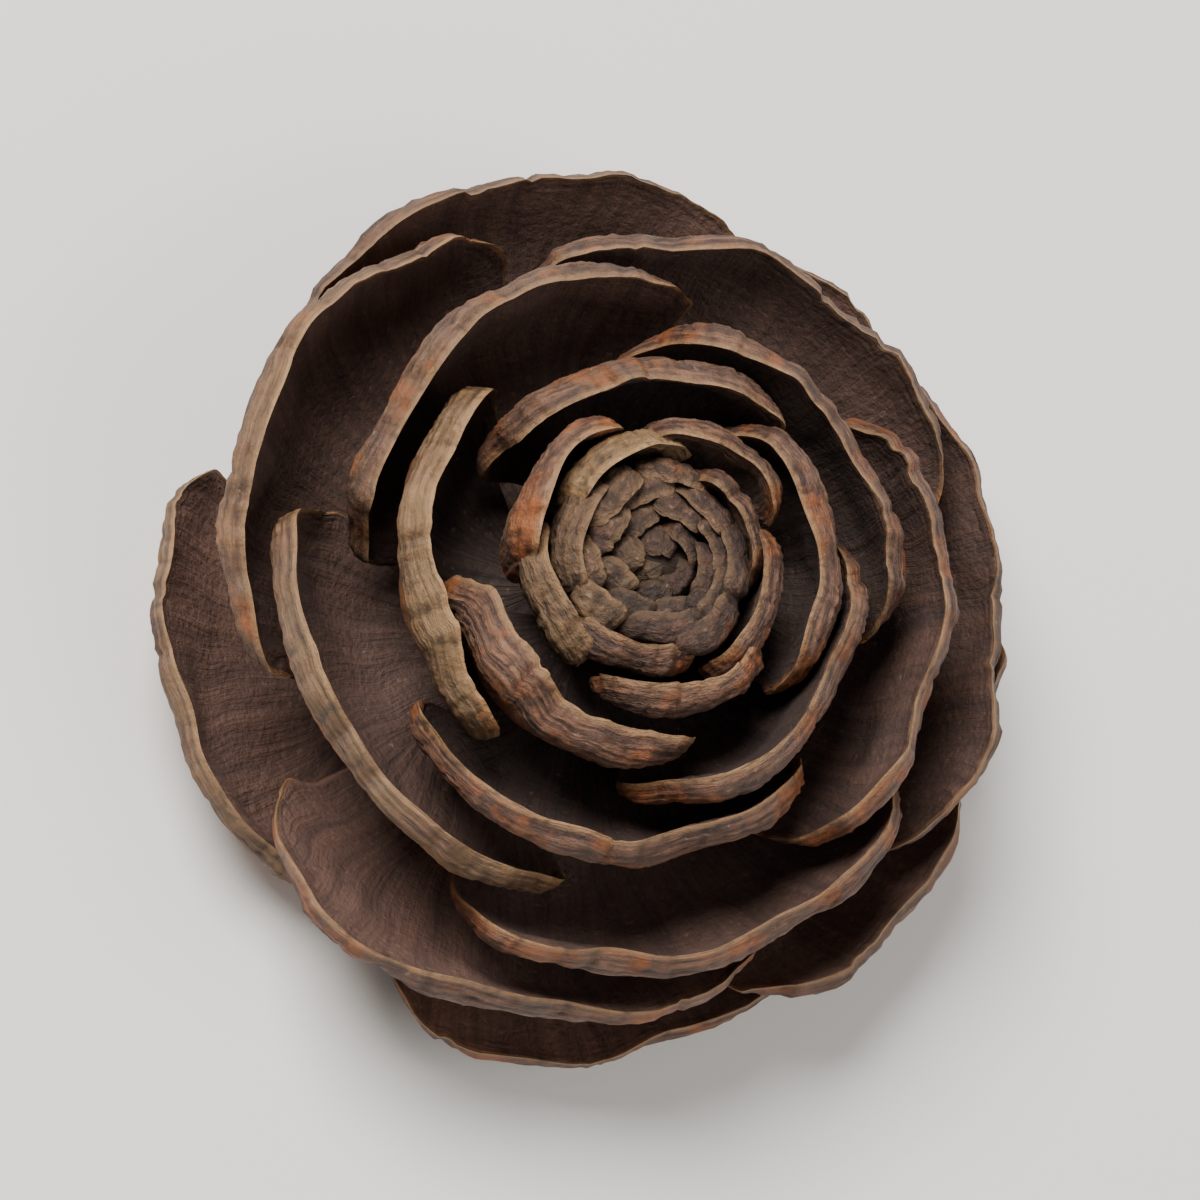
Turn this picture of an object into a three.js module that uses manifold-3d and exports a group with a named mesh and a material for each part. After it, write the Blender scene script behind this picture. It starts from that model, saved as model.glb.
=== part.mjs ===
// Cedar rose: the tip of a ripe cedar cone. Its woody scales stand open round a closed bud, as petals do on a rose.
// Millimetres. +Z runs up the cone's axis, bud upwards. Azimuths are degrees from +X towards +Y.
// Each open scale is a piece of its own, held by its claw on the axis. The small scales of the bud are grown into
// the axis, so the axis and the bud are one piece.
import * as THREE from "three";
import { mergeVertices } from "three/addons/utils/BufferGeometryUtils.js";
import Module from "manifold-3d";

const wasm = await Module();
wasm.setup();
const { degToRad, lerp, clamp } = THREE.MathUtils;

// Spiral: scales count outwards from 0, the innermost open one, and the bud's own count down from -1
const OPEN_SCALES = 20;
const BUD_SCALES = 15;
const DIVERGENCE = -137.508; // degrees from one scale to the next, clockwise outwards
const FIRST_AZIMUTH = 9.6;
const AZIMUTH_WANDER = 3; // degrees that a scale strays from the spiral
const SET_ASKEW = new Map([[10, -12], [11, -8], [12, -9], [13, -18], [14, 12], [17, 4], [18, -8]]); // degrees, by scale

// Open scales: each pair is the innermost scale's value and the outermost one's
const RIM_REACH = [7, 20.2]; // from the axis
const RIM_HEIGHT = [21.2, 5.4]; // over the table
const CLAW_HEIGHT = [13, 2.5];
const SHOULDER_REACH = [6.6, 11];
const SHOULDER_HEIGHT = [13.4, -0.5];
const BELLY_OVERHANG = [1.1, -3.4]; // how far the belly stands out past the rim
const BELLY_HEIGHT = [16.4, -0.5];
const HALF_ANGLE = [54, 38]; // degrees that a blade wraps to either side
const CAMBER = [0.1, -0.35]; // how far the side edges rise
const OPENING_PACE = { reach: 1.35, rise: 1.9, shoulder: 0.95, belly: 1.15, overhang: 1.3, angle: 2 };
const REACH_WANDER = 0.012;
const DRAWN_IN = new Map([[17, 1.2]]); // a scale that reaches less far than its place in the spiral
const HEIGHT_WANDER = 0.35;
const CLAW_REACH = 3.35; // a claw starts just clear of the axis
const CLAW_HALF_ANGLE = 25;
const BLADE_THICKNESS = [1.15, 0.85, 1.05]; // at the claw, in the middle and at the rim
const RIM_SWELL = 0.4; // what the rims of the middle scales have on top of that
const FIRST_RESTING = OPEN_SCALES - 3; // from here outwards the scales lie on the table
const RESTING_STEP = 0.5; // the share of a place by which the others stay above them
const RESTING_WEAR = 0.16; // how much of a resting scale is worn flat

// Bud scales: each pair is the outermost one's value and the innermost one's
const BUD_REACH = [6.05, 1.4];
const BUD_RIM_HEIGHT = [21.2, 20.3];
const BUD_RIM_WANDER = 0.4;
const BUD_ROOT_HEIGHT = [15, 17.1];
const BUD_ROOT_PACE = 1.6;
const BUD_ROOT_REACH = [0.72, 3.5]; // share of the reach, and the most it can be
const BUD_BELLY = [0.55, 0];
const BUD_SHOULDER = 0.65; // share of the way from root to rim
const BUD_HALF_ANGLE = 40;
const BUD_THICKNESS = [0.8, 0.7, 0.8];

// Outline of every scale
const FAN_RUN = 0.6; // share of the length in which the claw widens to the blade
const CORNER_DROP = 0.36; // share of the length by which a rim falls away at its corners
const CORNER_POWER = 4.2;
const RIM_WAVE = 0.022; // share of the length by which a rim is wavy
const LONG_WAVE = 5; // radians from the middle to an edge
const SHORT_WAVE = 11;
const SHORT_WAVE_SHARE = 0.6;
const SPIRAL_SLANT = 0.045; // share of the radius by which the leading edge tucks in
const EDGE_CURL = 0.03; // share of the radius by which both edges curl in
const EDGE_NOSE = 0.6; // how far an edge is rounded, in half thicknesses

// Axis and core of the bud, as distance from the axis and height, from the hole left at the broken lower end
// up over the outside to the knob in the middle of the bud
const AXIS_PROFILE = [
  [0, 8], [1.5, 8], [1.8, 2.8], [2.4, 2.4], [2.6, 3.2], [2.6, 13.6],
  [4.4, 16.2], [4.1, 17.9], [1, 18.7], [0.8, 19.7], [0, 20.2],
];
const AXIS_SIDES = 18;
const JOIN_SLIVER = 0.02;

// Facets of a blade, across and along
const OPEN_GRID = { columns: 8, rows: 7 };
const BUD_GRID = { columns: 5, rows: 4 };
const EDGE_CROWDING = 0.7; // how much closer the columns stand towards the edges, where the outline turns
const NORMAL_STEP = 0.02;
const WELD = 1e-4;

const BARK_BROWN = new THREE.Color("#4b3128");
const RUSSET_BROWN = new THREE.Color("#7a4a30");
const BUD_GREY_BROWN = new THREE.Color("#6d5443");
const WOOD_ROUGHNESS = 0.8;

// Wandering: each trait of a scale gets a number from -1 to 1, evenly spread from scale to scale
const GOLDEN_SHARE = 0.6180339887;
const TRAIT_SHARE = 0.2718281828;
const TRAIT = { azimuth: 1, reach: 2, height: 3, wave: 4 };

function wander(index, trait) {
  const turn = (index + 2 * OPEN_SCALES) * GOLDEN_SHARE + trait * TRAIT_SHARE;
  return 2 * (turn - Math.floor(turn)) - 1;
}

const between = ([first, last], share) => lerp(first, last, share);

function azimuthOf(index) {
  const askew = SET_ASKEW.get(index) ?? AZIMUTH_WANDER * wander(index, TRAIT.azimuth);
  return degToRad(FIRST_AZIMUTH + DIVERGENCE * index + askew);
}

// The line that a scale's middle follows, from claw to rim, as distance from the axis and height.
const meridian = (...corners) => new THREE.CubicBezierCurve(...corners.map((at) => new THREE.Vector2(...at)));

// An open scale: the inner ones stand up and close in on the bud, the outer ones lie open.
function openScale(index) {
  const age = index / (OPEN_SCALES - 1);
  const level = index < FIRST_RESTING ? index / (FIRST_RESTING + RESTING_STEP) : 1;
  const spread = Math.sin((age * Math.PI) / 2) ** OPENING_PACE.reach;
  const fullReach = between(RIM_REACH, spread) * (1 + REACH_WANDER * wander(index, TRAIT.reach));
  const reach = fullReach - (DRAWN_IN.get(index) ?? 0);
  const height = between(RIM_HEIGHT, age ** OPENING_PACE.rise) + HEIGHT_WANDER * wander(index, TRAIT.height);
  const overhang = between(BELLY_OVERHANG, age ** OPENING_PACE.overhang);
  const [claw, blade, rim] = BLADE_THICKNESS;
  return {
    azimuth: azimuthOf(index),
    halfAngle: degToRad(between(HALF_ANGLE, age ** OPENING_PACE.angle)),
    line: meridian(
      [CLAW_REACH, between(CLAW_HEIGHT, age)],
      [between(SHOULDER_REACH, age), between(SHOULDER_HEIGHT, level ** OPENING_PACE.shoulder)],
      [reach + overhang, between(BELLY_HEIGHT, level ** OPENING_PACE.belly)],
      [reach, height],
    ),
    camber: between(CAMBER, age),
    thickness: [claw, blade, rim + RIM_SWELL * Math.sin(Math.PI * age)],
    phase: Math.PI * wander(index, TRAIT.wave),
    grid: OPEN_GRID,
  };
}

// A scale of the closed bud: short, upright and sunk into the core.
function budScale(order) {
  const inward = (order - 1) / (BUD_SCALES - 1);
  const reach = between(BUD_REACH, inward);
  const [rootShare, rootMost] = BUD_ROOT_REACH;
  const root = Math.min(rootMost, reach * rootShare);
  const rootHeight = between(BUD_ROOT_HEIGHT, Math.min(1, inward * BUD_ROOT_PACE));
  const height = between(BUD_RIM_HEIGHT, inward) + BUD_RIM_WANDER * wander(-order, TRAIT.height);
  return {
    azimuth: azimuthOf(-order),
    halfAngle: degToRad(BUD_HALF_ANGLE),
    line: meridian(
      [root, rootHeight],
      [lerp(root, reach, BUD_SHOULDER), rootHeight],
      [reach + between(BUD_BELLY, inward), (rootHeight + height) / 2],
      [reach, height],
    ),
    camber: 0,
    thickness: BUD_THICKNESS,
    phase: Math.PI * wander(-order, TRAIT.wave),
    grid: BUD_GRID,
  };
}

// A point of a scale's middle surface: across runs from -1 to 1 with the azimuth, along from claw to rim.
function bladePoint(scale, across, along) {
  const longWave = Math.sin(LONG_WAVE * across + scale.phase);
  const shortWave = SHORT_WAVE_SHARE * Math.sin(SHORT_WAVE * across - scale.phase);
  const wave = RIM_WAVE * (1 + SHORT_WAVE_SHARE + longWave + shortWave);
  const drop = CORNER_DROP * Math.abs(across) ** CORNER_POWER;
  const run = clamp(along * (1 - along ** 2 * (drop + wave)), 0, 1);
  const middle = scale.line.getPointAt(run);
  const fan = Math.sin((Math.min(1, run / FAN_RUN) * Math.PI) / 2);
  const angle = scale.azimuth + across * lerp(degToRad(CLAW_HALF_ANGLE), scale.halfAngle, fan);
  const radius = middle.x * (1 - run * (SPIRAL_SLANT * across + EDGE_CURL * across ** 4));
  const height = middle.y + scale.camber * across ** 2 * run;
  return new THREE.Vector3(radius * Math.cos(angle), radius * Math.sin(angle), height);
}

// The direction out of the scale's upper face.
function bladeNormal(scale, across, along) {
  const left = bladePoint(scale, Math.max(-1, across - NORMAL_STEP), along);
  const right = bladePoint(scale, Math.min(1, across + NORMAL_STEP), along);
  const near = bladePoint(scale, across, Math.max(0, along - NORMAL_STEP));
  const far = bladePoint(scale, across, Math.min(1, along + NORMAL_STEP));
  return far.sub(near).cross(right.sub(left)).normalize();
}

// Thickness falls from the claw to the middle and swells again towards the rim.
function bladeThickness([claw, blade, rim], along) {
  return along < 0.5 ? lerp(claw, blade, 2 * along) : lerp(blade, rim, (2 * along - 1) ** 2);
}

// The scale as a closed thin solid: an upper and a lower face on one grid, joined by a rounded edge.
function bladeGeometry(scale) {
  const { columns, rows } = scale.grid;
  const points = [];
  const faces = [];
  const middle = [];
  const upper = [];
  const lower = [];
  const add = (point) => points.push(point) - 1;
  for (let row = 0; row <= rows; row++) {
    for (let column = 0; column <= columns; column++) {
      const along = row / rows;
      const even = (2 * column) / columns - 1;
      const across = lerp(even, Math.sin((even * Math.PI) / 2), EDGE_CROWDING);
      const point = bladePoint(scale, across, along);
      const half = bladeThickness(scale.thickness, along) / 2;
      const lift = bladeNormal(scale, across, along).multiplyScalar(half);
      middle.push(point);
      upper.push(add(point.clone().add(lift)));
      lower.push(add(point.clone().sub(lift)));
    }
  }
  const at = (column, row) => row * (columns + 1) + column;
  for (let row = 0; row < rows; row++) {
    for (let column = 0; column < columns; column++) {
      const corners = [at(column, row), at(column, row + 1), at(column + 1, row + 1), at(column + 1, row)];
      const [a, b, c, d] = corners.map((i) => upper[i]);
      const [e, f, g, h] = corners.map((i) => lower[i]);
      faces.push([a, b, c], [a, c, d], [e, g, f], [e, h, g]);
    }
  }
  // The border, once round: each place of the grid's edge with the place behind it
  const border = [];
  const inside = (value, last) => clamp(value, 1, last - 1);
  const place = (column, row) => border.push([at(column, row), at(inside(column, columns), inside(row, rows))]);
  for (let column = 0; column < columns; column++) place(column, 0);
  for (let row = 0; row < rows; row++) place(columns, row);
  for (let column = columns; column > 0; column--) place(column, rows);
  for (let row = rows; row > 0; row--) place(0, row);
  const nose = border.map(([edge, behind]) => {
    const half = points[upper[edge]].distanceTo(points[lower[edge]]) / 2;
    const out = middle[edge].clone().sub(middle[behind]).setLength(half * EDGE_NOSE);
    return add(middle[edge].clone().add(out));
  });
  border.forEach(([edge], i) => {
    const j = (i + 1) % border.length;
    const [next] = border[j];
    faces.push([upper[edge], upper[next], nose[j]], [upper[edge], nose[j], nose[i]]);
    faces.push([nose[i], nose[j], lower[next]], [nose[i], lower[next], lower[edge]]);
  });
  return new THREE.BufferGeometry().setFromPoints(points).setIndex(faces.flat());
}

// Joins and cuts
function toSolid(geometry) {
  const bare = geometry.clone();
  bare.deleteAttribute("normal");
  bare.deleteAttribute("uv");
  const merged = mergeVertices(bare, WELD);
  const vertProperties = merged.attributes.position.array;
  const triVerts = new Uint32Array(merged.index.array);
  return new wasm.Manifold(new wasm.Mesh({ numProp: 3, vertProperties, triVerts }));
}

function toGeometry(solid) {
  const { vertProperties, triVerts } = solid.getMesh();
  const geometry = new THREE.BufferGeometry();
  geometry.setAttribute("position", new THREE.BufferAttribute(vertProperties, 3));
  return geometry.setIndex(new THREE.BufferAttribute(triVerts, 1));
}

// Slivers at the joins of the small scales are smoothed away, and pores closed off between them are filled.
function withoutPores(solid) {
  const shells = solid.simplify(JOIN_SLIVER).decompose();
  return shells.reduce((outer, shell) => (shell.volume() > outer.volume() ? shell : outer));
}

// The bud: the axis, turned from its profile, with every small scale grown into it.
function budGeometry() {
  const profile = AXIS_PROFILE.map(([radius, height]) => new THREE.Vector2(radius, height));
  let bud = toSolid(new THREE.LatheGeometry(profile, AXIS_SIDES).rotateX(Math.PI / 2));
  for (let order = 1; order <= BUD_SCALES; order++) {
    bud = bud.add(toSolid(bladeGeometry(budScale(order))));
  }
  return toGeometry(withoutPores(bud));
}

// A resting scale lies down on the table and is worn flat where it touches.
function restOnTable(geometry) {
  geometry.computeBoundingBox();
  const { min, max } = geometry.boundingBox;
  geometry.translate(0, 0, -min.z - RESTING_WEAR);
  const side = 4 * Math.max(...max.toArray(), ...min.negate().toArray());
  const table = new THREE.BoxGeometry(side, side, side).translate(0, 0, -side / 2);
  return toGeometry(toSolid(geometry).subtract(toSolid(table)));
}

function wood(name, geometry, color) {
  const material = new THREE.MeshStandardMaterial({ color, roughness: WOOD_ROUGHNESS, metalness: 0 });
  const mesh = new THREE.Mesh(geometry, material);
  mesh.name = name;
  return mesh;
}

const rose = new THREE.Group();
rose.add(wood("bud_on_axis", budGeometry(), BUD_GREY_BROWN));
for (let index = 0; index < OPEN_SCALES; index++) {
  const blade = bladeGeometry(openScale(index));
  const color = BARK_BROWN.clone().lerp(RUSSET_BROWN, index / (OPEN_SCALES - 1));
  const name = `scale_${String(index + 1).padStart(2, "0")}`;
  rose.add(wood(name, index < FIRST_RESTING ? blade : restOnTable(blade), color));
}

// The origin is on the table, in the middle of the rose's outline.
const middle = new THREE.Box3().setFromObject(rose).getCenter(new THREE.Vector3());
rose.position.set(-middle.x, -middle.y, 0);

export default rose;
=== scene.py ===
# %% [markdown]
# # Cedar rose
# A cedar rose is the tip of a ripe cedar cone. The cone falls apart scale by scale, and what stays together
# at the top looks like a carved rose: a tight bud, and woody scales that open further the lower they sit on
# the axis. This lesson loads the solids of the rose as a fixed frame and dresses each of them with a finer
# piece. One rule places every scale, and one Geometry Nodes tree grows every scale from a few named sizes.

# %% Load the solids
import math
from types import SimpleNamespace

import bmesh
import bpy
from mathutils import Matrix, Vector, noise


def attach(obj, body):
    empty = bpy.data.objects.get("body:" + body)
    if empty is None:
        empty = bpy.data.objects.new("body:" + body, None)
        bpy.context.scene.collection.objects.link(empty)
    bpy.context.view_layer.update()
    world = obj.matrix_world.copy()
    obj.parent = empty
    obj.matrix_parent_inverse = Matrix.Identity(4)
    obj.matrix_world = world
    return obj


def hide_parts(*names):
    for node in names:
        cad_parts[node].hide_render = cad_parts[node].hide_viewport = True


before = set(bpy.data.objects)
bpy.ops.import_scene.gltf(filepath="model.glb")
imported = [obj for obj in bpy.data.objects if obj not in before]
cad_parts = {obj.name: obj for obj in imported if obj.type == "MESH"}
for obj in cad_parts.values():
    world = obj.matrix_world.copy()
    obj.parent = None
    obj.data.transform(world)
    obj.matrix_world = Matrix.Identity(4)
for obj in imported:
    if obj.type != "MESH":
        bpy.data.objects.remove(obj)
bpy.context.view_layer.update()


# %% [markdown]
# ## The spiral
# On a cone each scale stands about 137.5 degrees round from the one before it, so no scale lies straight
# over another. The scales are counted outwards from 0, the innermost open one. Those of the bud count down
# from -1. Some outer scales stand a little off the spiral, as cones dry unevenly.
# Twenty petals could be placed by hand instead. A rule is shorter, and the scales that it makes do not cross.
# What differs from scale to scale comes from the golden share, not from chance, so each run gives the same
# rose.

# %% Where a scale stands
MM = 0.001
DIVERGENCE = -137.508  # degrees from one scale to the next, clockwise outwards
FIRST_AZIMUTH = 9.6
AZIMUTH_WANDER = 3
SET_ASKEW = {10: -12, 11: -8, 12: -9, 13: -18, 14: 12, 17: 4, 18: -8}  # degrees, by scale
FIRST_TURN, GOLDEN_SHARE, TRAIT_SHARE = 40, 0.6180339887, 0.2718281828
AZIMUTH, REACH, HEIGHT, PHASE, CURL, TINT, SHADE, LUMP_HEIGHT, LUMP_SHADE = range(1, 10)  # traits that wander


def between(pair, share):
    return pair[0] + (pair[1] - pair[0]) * share


def wander(index, trait):
    """A number from -1 to 1, evenly spread from scale to scale."""
    turn = (index + FIRST_TURN) * GOLDEN_SHARE + trait * TRAIT_SHARE
    return 2 * (turn - math.floor(turn)) - 1


def azimuth_of(index):
    askew = SET_ASKEW.get(index, AZIMUTH_WANDER * wander(index, AZIMUTH))
    return math.radians(FIRST_AZIMUTH + DIVERGENCE * index + askew)


print("first three scales stand at", [round(math.degrees(azimuth_of(i)) % 360) for i in range(3)], "degrees")

# %% [markdown]
# ## Sizes of an open scale
# A scale is a fan on a narrow claw. Its middle follows a line in a plane through the axis: out from the
# claw, over a shoulder, round a belly and up to the rim. Four points are enough for that line, because it is
# one Bezier segment. Inner scales stand up and close in on the bud. Outer ones lie open, and the last three
# rest on the table. Every size goes over smoothly from the innermost scale to the outermost, so a pair of
# numbers is enough for each, and a power says how soon it changes.

# %% Millimetres, for the innermost open scale and the outermost
OPEN_SCALES = 20
FIRST_RESTING = 17
RESTING_STEP = 0.5  # the share of a place by which the others stay above the resting ones
LOWERED = {17: -0.546, 18: -0.359, 19: -0.078}  # how far the resting ones lie down on the table
SET_OUT = {3: 0.3, 17: -1.2}  # one keeps clear of the first scale's back, and one is drawn in
RIM_REACH, RIM_HEIGHT = (7, 20.2), (21.2, 5.4)
CLAW_REACH, CLAW_HEIGHT = 2.75, (13, 2.5)
SHOULDER_REACH, SHOULDER_HEIGHT = (6.6, 11), (13.4, -0.5)
BELLY_OVERHANG, BELLY_HEIGHT = (1.7, -3.4), (16.4, -0.5)
CLAW_THICKNESS, BLADE_THICKNESS, RIM_THICKNESS = 1.15, 0.85, (1.15, 0.95)
CAMBER = (0.1, -0.35)  # how far the side edges rise
HALF_ANGLE = (54, 38)  # degrees that a blade wraps to either side
NUB_HEIGHT, RAGGEDNESS = (0.2, 0.12), (0.18, 0.04)
REACH_WANDER, HEIGHT_WANDER, CURL_WANDER = 0.012, 0.35, 0.35
OPEN_TINTS = {1: 0.25, 4: 0.75}  # one is rubbed orange and one is olive


# %% An open scale
def open_scale(index):
    age = index / (OPEN_SCALES - 1)
    level = index / (FIRST_RESTING + RESTING_STEP) if index < FIRST_RESTING else 1
    reach = between(RIM_REACH, math.sin(age * math.pi / 2) ** 1.35)
    reach = reach * (1 + REACH_WANDER * wander(index, REACH)) + SET_OUT.get(index, 0)
    return {
        "Azimuth": azimuth_of(index),
        "Half angle": math.radians(between(HALF_ANGLE, age**2)),
        "Claw": (CLAW_REACH, between(CLAW_HEIGHT, age)),
        "Shoulder": (between(SHOULDER_REACH, age), between(SHOULDER_HEIGHT, level**0.95)),
        "Belly": (reach + between(BELLY_OVERHANG, age**1.1), between(BELLY_HEIGHT, level**1.15)),
        "Rim": (reach, between(RIM_HEIGHT, age**1.9) + HEIGHT_WANDER * wander(index, HEIGHT)),
        "Claw thickness": CLAW_THICKNESS,
        "Blade thickness": BLADE_THICKNESS,
        "Rim thickness": between(RIM_THICKNESS, age),
        "Camber": between(CAMBER, age),
        "Lowered": LOWERED.get(index, 0),
        "Wave phase": math.pi * wander(index, PHASE),
        "Nubs": between(NUB_HEIGHT, age),
        "Ragged": between(RAGGEDNESS, age),
        "Curl": CURL_WANDER * wander(index, CURL),
        "Tone": age,
        "Tint": OPEN_TINTS.get(index, 0.35 + 0.35 * wander(index, TINT)),
        "Shade": 0.12 + 0.12 * wander(index, SHADE),
        "Seed": float(index + 60),
    }


print("a middle scale reaches", [round(v, 1) for v in open_scale(10)["Rim"]], "mm out and up")

# %% [markdown]
# ## Sizes in the bud
# The scales of the bud never opened. They are short, thick at the rim and pressed together, on the same
# spiral. In its heart they are no more than lumps, spread over a small disc as seeds are on a sunflower.

# %% Millimetres, for the outermost bud scale and the innermost
BUD_SCALES = 9
BUD_STEPS = 14  # the bud closes in as if it had one scale more than this
BUD_REACH, BUD_HEIGHT, BUD_ROOT_HEIGHT = (6.05, 2.5), (21.2, 20.3), (15, 17.1)
BUD_ROOT_MOST, BUD_ROOT_SHARE = 3.5, 0.72  # how far out a bud scale is rooted
BUD_BELLY = 0.55
BUD_HALF_ANGLE = 42
BUD_TINTS = {1: 0.0, 6: 1.0}  # one is rubbed orange and one is pale and olive


# %% A bud scale
def bud_scale(order):
    inward = (order - 1) / BUD_STEPS
    reach = between(BUD_REACH, inward)
    root = min(BUD_ROOT_MOST, reach * BUD_ROOT_SHARE)
    root_height = between(BUD_ROOT_HEIGHT, min(1, inward * 1.6))
    height = between(BUD_HEIGHT, inward) + 0.4 * wander(-order, HEIGHT)
    return {
        "Azimuth": azimuth_of(-order),
        "Half angle": math.radians(BUD_HALF_ANGLE),
        "Claw": (root, root_height),
        "Shoulder": (between((root, reach), 0.65), root_height),
        "Belly": (reach + BUD_BELLY * (1 - inward), (root_height + height) / 2),
        "Rim": (reach, height),
        "Claw thickness": 0.8,
        "Blade thickness": 0.75,
        "Rim thickness": 1.3,
        "Camber": 0.0,
        "Lowered": 0.0,
        "Wave phase": math.pi * wander(-order, PHASE),
        "Nubs": 0.24,
        "Ragged": 0.2,
        "Curl": 0.25 * wander(-order, CURL),
        "Tone": 0.5 + 0.5 * wander(-order, SHADE),
        "Tint": BUD_TINTS.get(order, 0.4 + 0.4 * wander(-order, TINT)),
        "Shade": 0.0 if order in BUD_TINTS else 0.1 + 0.5 * inward,
        "Seed": float(60 - order),
    }


print("the bud's first scale reaches", [round(v, 1) for v in bud_scale(1)["Rim"]], "mm out and up")

# %% A lump of the heart
HEART_SCALES = 24
HEART_REACH, HEART_HEIGHT, HEART_RISE = 4.1, 19.9, 0.16


def heart_scale(order):
    """One of the small lumps at the middle, spread evenly over a disc."""
    reach = HEART_REACH * math.sqrt(1 - order / (HEART_SCALES + 0.5))
    height = HEART_HEIGHT + HEART_RISE * reach + 0.35 * wander(order, LUMP_HEIGHT)
    half_width = 0.9 + 0.25 * reach + 0.4 * wander(order, REACH)
    return {
        **bud_scale(BUD_SCALES + order),
        "Half angle": min(1.3, half_width / reach),
        "Claw": (reach * 0.75, height - 2.2),
        "Shoulder": (reach + 0.1, height - 1.8),
        "Belly": (reach + 0.2, height - 0.7),
        "Rim": (max(0.08, reach * 0.9 - 0.3), height),
        "Rim thickness": 1.0,
        "Nubs": 0.5,
        "Curl": 0.0,
        "Shade": 0.48 + 0.28 * order / HEART_SCALES + 0.18 * wander(order, LUMP_SHADE),
    }


print("the heart's first lump reaches", [round(v, 1) for v in heart_scale(1)["Rim"]], "mm out and up")

# %% [markdown]
# ## One small helper
# Both the shape tree and the wood are node trees. This helper adds one node, sets it, feeds its inputs and
# gives back one of its outputs, so a formula reads from top to bottom. The kinds of nodes that come up often
# get short names.

# %% The helper that adds a node
MATH, MIX, RANGE, NOISE = "ShaderNodeMath", "ShaderNodeMix", "ShaderNodeMapRange", "ShaderNodeTexNoise"
VECTOR, SPLIT, COMBINE = "ShaderNodeVectorMath", "ShaderNodeSeparateXYZ", "ShaderNodeCombineXYZ"
STORE, READ = "GeometryNodeStoreNamedAttribute", "GeometryNodeInputNamedAttribute"
MOVE, JOIN = "GeometryNodeSetPosition", "GeometryNodeJoinGeometry"
NUMBER_ON_POINTS = {"data_type": "FLOAT", "domain": "POINT"}
SOFT_STEP = {"interpolation_type": "SMOOTHSTEP"}
NOISE_SPAN = (0.3, 0.7)  # nearly all values of a noise lie between these


def put(tree, kind, feeds=(), out=0, **settings):
    node = tree.nodes.new(kind)
    for key, value in settings.items():
        setattr(node, key, value)
    for key, value in feeds.items() if isinstance(feeds, dict) else enumerate(feeds):
        if isinstance(value, bpy.types.NodeSocket):
            tree.links.new(value, node.inputs[key])
        elif value is not None:
            node.inputs[key].default_value = value
    return node.outputs[out]


# %% [markdown]
# ## The tree that grows a scale
# The tree starts from a flat grid. One way of the grid runs across the scale, the other along it from claw
# to rim, and both are stored as attributes, because the wood needs them later. The grid is then bent: each
# point slides along the scale's line and turns round the axis. Columns and rows crowd towards the edges,
# where most of the detail is.

# %% Named inputs
SIZES = ["Claw thickness", "Blade thickness", "Rim thickness", "Camber", "Lowered", "Nubs", "Curl"]
PLAIN = ["Azimuth", "Half angle", "Wave phase", "Ragged", "Tone", "Tint", "Shade", "Seed"]
POINTS = ["Claw", "Shoulder", "Belly", "Rim"]

tree = bpy.data.node_groups.new("cedar_scale", "GeometryNodeTree")
for name in SIZES + PLAIN:
    tree.interface.new_socket(name, in_out="INPUT", socket_type="NodeSocketFloat")
for name in POINTS + ["Axis"]:
    tree.interface.new_socket(name, in_out="INPUT", socket_type="NodeSocketVector")
for name in ["Columns", "Rows"]:
    tree.interface.new_socket(name, in_out="INPUT", socket_type="NodeSocketInt")
tree.interface.new_socket("Wood", in_out="INPUT", socket_type="NodeSocketMaterial")
tree.interface.new_socket("Scale", in_out="OUTPUT", socket_type="NodeSocketGeometry")
given = tree.nodes.new("NodeGroupInput").outputs
print("tree inputs:", len(given) - 1)

# %% The flat grid and its two directions
EDGE_CROWDING, RIM_CROWDING = 0.7, 1.7

grid = put(tree, "GeometryNodeMeshGrid", [2.0, 1.0, given["Columns"], given["Rows"]])
even = put(tree, SPLIT, [put(tree, "GeometryNodeInputPosition")])
bent = put(tree, MATH, [even, math.pi / 2], operation="MULTIPLY")
bent = put(tree, MATH, [bent], operation="SINE")
crowded = put(tree, MIX, [EDGE_CROWDING, None, even, bent])
left_over = put(tree, MATH, [0.5, even.node.outputs["Y"]], operation="SUBTRACT")
left_over = put(tree, MATH, [left_over, RIM_CROWDING], operation="POWER")
risen = put(tree, MATH, [1.0, left_over], operation="SUBTRACT")
kept = {"across": crowded, "along": risen, "upper": 0.0}
kept.update({key.lower(): given[key] for key in ("Tone", "Tint", "Shade")})
sheet = grid
for name, value in kept.items():
    sheet = put(tree, STORE, {"Geometry": sheet, "Name": name, "Value": value}, **NUMBER_ON_POINTS)
across = put(tree, READ, ["across"], data_type="FLOAT")
along = put(tree, READ, ["along"], data_type="FLOAT")
upper = put(tree, READ, ["upper"], data_type="FLOAT")
lower = put(tree, MATH, [1.0, upper], operation="SUBTRACT")
sideways = put(tree, MATH, [across], operation="ABSOLUTE")
print("stored on the grid:", list(kept))

# %% [markdown]
# The line of the scale is a Bezier segment. It runs from the claw to the rim, and the shoulder and the belly
# pull it into shape. The rim at its end is not a clean arc: it falls away at the corners, it has a long and
# a short wave, it is ragged where the wood has frayed, and small chips are broken out of it. All of these
# shorten the run of a column, as a share of its length. A column shrinks evenly from claw to rim, so the grid
# never folds over itself.

# %% The scale's line, and the smooth part of its rim
CORNER_DROP, CORNER_POWER = 0.3, 5.5  # share of the length by which a rim falls away at its corners
RIM_WAVE, LONG_WAVE, SHORT_WAVE, SHORT_SHARE = 0.022, 5.0, 11.0, 0.6

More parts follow.
